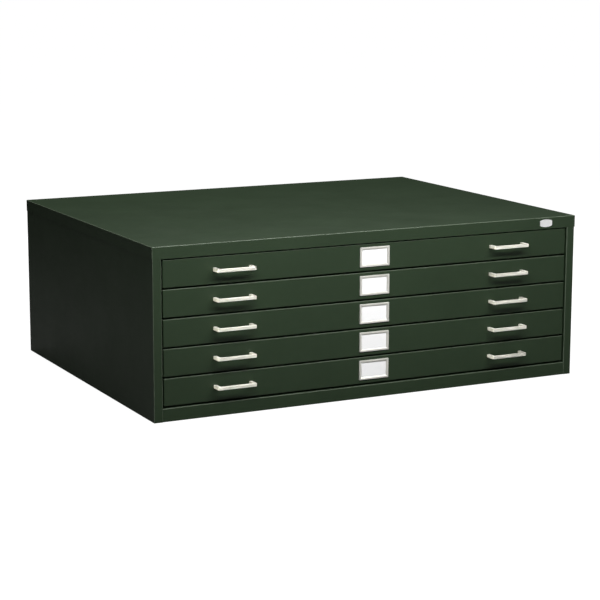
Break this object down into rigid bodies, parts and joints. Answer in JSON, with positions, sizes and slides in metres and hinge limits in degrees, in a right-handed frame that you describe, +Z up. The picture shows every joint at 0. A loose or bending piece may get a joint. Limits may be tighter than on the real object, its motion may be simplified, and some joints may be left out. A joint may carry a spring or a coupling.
{
  "type": "flat file cabinet",
  "caption": "Low steel cabinet with wide shallow roller drawers for flat sheets, a lift-off cap, bow pulls and label holders.",
  "frame": {"origin": "on the floor, under the middle of the whole cabinet's box, pulls included", "axes": "+X across the front to the right as seen from the front, drawers open towards -Y, +Z up"},
  "size_m": [1.1778, 0.9226, 0.4191],
  "materials": {
    "enamel": "semi-gloss dark green enamel",
    "nickel": "bright nickel plate",
    "label_frame": "bright plate",
    "card": "plain card",
    "zinc": "zinc plate",
    "badge_plate": "satin"
  },
  "bodies": {
    "case": {"top_cap": "enamel", "left_side_panel": "enamel", "right_side_panel": "enamel", "back_panel": "enamel", "bottom_panel": "enamel", "bottom_rail": "enamel", "top_rail": "enamel", "roller_rails": "zinc", "case_roller_pins": "zinc", "badge": "badge_plate"},
    "drawer_1": {"drawer_1_front": "enamel", "drawer_1_tray": "enamel", "drawer_1_hood": "enamel", "drawer_1_fittings": "zinc", "drawer_1_pulls": "nickel", "drawer_1_label_holder": "label_frame", "drawer_1_label_card": "card"},
    "flap_1": {"drawer_1_flap": "enamel"},
    "rear_rollers_1": {"drawer_1_rear_rollers": "zinc"},
    "front_rollers_1": {"case_rollers_1": "zinc"},
    "drawer_2": {"drawer_2_front": "enamel", "drawer_2_tray": "enamel", "drawer_2_hood": "enamel", "drawer_2_fittings": "zinc", "drawer_2_pulls": "nickel", "drawer_2_label_holder": "label_frame", "drawer_2_label_card": "card"},
    "flap_2": {"drawer_2_flap": "enamel"},
    "rear_rollers_2": {"drawer_2_rear_rollers": "zinc"},
    "front_rollers_2": {"case_rollers_2": "zinc"},
    "drawer_3": {"drawer_3_front": "enamel", "drawer_3_tray": "enamel", "drawer_3_hood": "enamel", "drawer_3_fittings": "zinc", "drawer_3_pulls": "nickel", "drawer_3_label_holder": "label_frame", "drawer_3_label_card": "card"},
    "flap_3": {"drawer_3_flap": "enamel"},
    "rear_rollers_3": {"drawer_3_rear_rollers": "zinc"},
    "front_rollers_3": {"case_rollers_3": "zinc"},
    "drawer_4": {"drawer_4_front": "enamel", "drawer_4_tray": "enamel", "drawer_4_hood": "enamel", "drawer_4_fittings": "zinc", "drawer_4_pulls": "nickel", "drawer_4_label_holder": "label_frame", "drawer_4_label_card": "card"},
    "flap_4": {"drawer_4_flap": "enamel"},
    "rear_rollers_4": {"drawer_4_rear_rollers": "zinc"},
    "front_rollers_4": {"case_rollers_4": "zinc"},
    "drawer_5": {"drawer_5_front": "enamel", "drawer_5_tray": "enamel", "drawer_5_hood": "enamel", "drawer_5_fittings": "zinc", "drawer_5_pulls": "nickel", "drawer_5_label_holder": "label_frame", "drawer_5_label_card": "card"},
    "flap_5": {"drawer_5_flap": "enamel"},
    "rear_rollers_5": {"drawer_5_rear_rollers": "zinc"},
    "front_rollers_5": {"case_rollers_5": "zinc"}
  },
  "joints": [
    {"name": "drawer_1_slide", "type": "slide", "parent": "case", "child": "drawer_1", "axis": [0, -1, 0], "range_m": [0, 0.6]},
    {"name": "flap_1_hinge", "type": "hinge", "parent": "drawer_1", "child": "flap_1", "pos_m": [0, -0.41385, 0.3731], "axis": [1, 0, 0], "range_deg": [0, 30]},
    {"name": "rear_rollers_1_spin", "type": "hinge", "parent": "drawer_1", "child": "rear_rollers_1", "pos_m": [0, 0.39865, 0.3468], "axis": [1, 0, 0], "continuous": true},
    {"name": "front_rollers_1_spin", "type": "hinge", "parent": "case", "child": "front_rollers_1", "pos_m": [0, -0.40595, 0.3468], "axis": [1, 0, 0], "continuous": true},
    {"name": "drawer_2_slide", "type": "slide", "parent": "case", "child": "drawer_2", "axis": [0, -1, 0], "range_m": [0, 0.6]},
    {"name": "flap_2_hinge", "type": "hinge", "parent": "drawer_2", "child": "flap_2", "pos_m": [0, -0.41385, 0.3024], "axis": [1, 0, 0], "range_deg": [0, 30]},
    {"name": "rear_rollers_2_spin", "type": "hinge", "parent": "drawer_2", "child": "rear_rollers_2", "pos_m": [0, 0.39865, 0.2761], "axis": [1, 0, 0], "continuous": true},
    {"name": "front_rollers_2_spin", "type": "hinge", "parent": "case", "child": "front_rollers_2", "pos_m": [0, -0.40595, 0.2761], "axis": [1, 0, 0], "continuous": true},
    {"name": "drawer_3_slide", "type": "slide", "parent": "case", "child": "drawer_3", "axis": [0, -1, 0], "range_m": [0, 0.6]},
    {"name": "flap_3_hinge", "type": "hinge", "parent": "drawer_3", "child": "flap_3", "pos_m": [0, -0.41385, 0.2317], "axis": [1, 0, 0], "range_deg": [0, 30]},
    {"name": "rear_rollers_3_spin", "type": "hinge", "parent": "drawer_3", "child": "rear_rollers_3", "pos_m": [0, 0.39865, 0.2054], "axis": [1, 0, 0], "continuous": true},
    {"name": "front_rollers_3_spin", "type": "hinge", "parent": "case", "child": "front_rollers_3", "pos_m": [0, -0.40595, 0.2054], "axis": [1, 0, 0], "continuous": true},
    {"name": "drawer_4_slide", "type": "slide", "parent": "case", "child": "drawer_4", "axis": [0, -1, 0], "range_m": [0, 0.6]},
    {"name": "flap_4_hinge", "type": "hinge", "parent": "drawer_4", "child": "flap_4", "pos_m": [0, -0.41385, 0.161], "axis": [1, 0, 0], "range_deg": [0, 30]},
    {"name": "rear_rollers_4_spin", "type": "hinge", "parent": "drawer_4", "child": "rear_rollers_4", "pos_m": [0, 0.39865, 0.1347], "axis": [1, 0, 0], "continuous": true},
    {"name": "front_rollers_4_spin", "type": "hinge", "parent": "case", "child": "front_rollers_4", "pos_m": [0, -0.40595, 0.1347], "axis": [1, 0, 0], "continuous": true},
    {"name": "drawer_5_slide", "type": "slide", "parent": "case", "child": "drawer_5", "axis": [0, -1, 0], "range_m": [0, 0.6]},
    {"name": "flap_5_hinge", "type": "hinge", "parent": "drawer_5", "child": "flap_5", "pos_m": [0, -0.41385, 0.0903], "axis": [1, 0, 0], "range_deg": [0, 30]},
    {"name": "rear_rollers_5_spin", "type": "hinge", "parent": "drawer_5", "child": "rear_rollers_5", "pos_m": [0, 0.39865, 0.064], "axis": [1, 0, 0], "continuous": true},
    {"name": "front_rollers_5_spin", "type": "hinge", "parent": "case", "child": "front_rollers_5", "pos_m": [0, -0.40595, 0.064], "axis": [1, 0, 0], "continuous": true}
  ],
  "couplings": [
    {"joint": "rear_rollers_1_spin", "follows": "drawer_1_slide", "rad_per_m": 90.909},
    {"joint": "front_rollers_1_spin", "follows": "drawer_1_slide", "rad_per_m": 90.909},
    {"joint": "rear_rollers_2_spin", "follows": "drawer_2_slide", "rad_per_m": 90.909},
    {"joint": "front_rollers_2_spin", "follows": "drawer_2_slide", "rad_per_m": 90.909},
    {"joint": "rear_rollers_3_spin", "follows": "drawer_3_slide", "rad_per_m": 90.909},
    {"joint": "front_rollers_3_spin", "follows": "drawer_3_slide", "rad_per_m": 90.909},
    {"joint": "rear_rollers_4_spin", "follows": "drawer_4_slide", "rad_per_m": 90.909},
    {"joint": "front_rollers_4_spin", "follows": "drawer_4_slide", "rad_per_m": 90.909},
    {"joint": "rear_rollers_5_spin", "follows": "drawer_5_slide", "rad_per_m": 90.909},
    {"joint": "front_rollers_5_spin", "follows": "drawer_5_slide", "rad_per_m": 90.909}
  ]
}
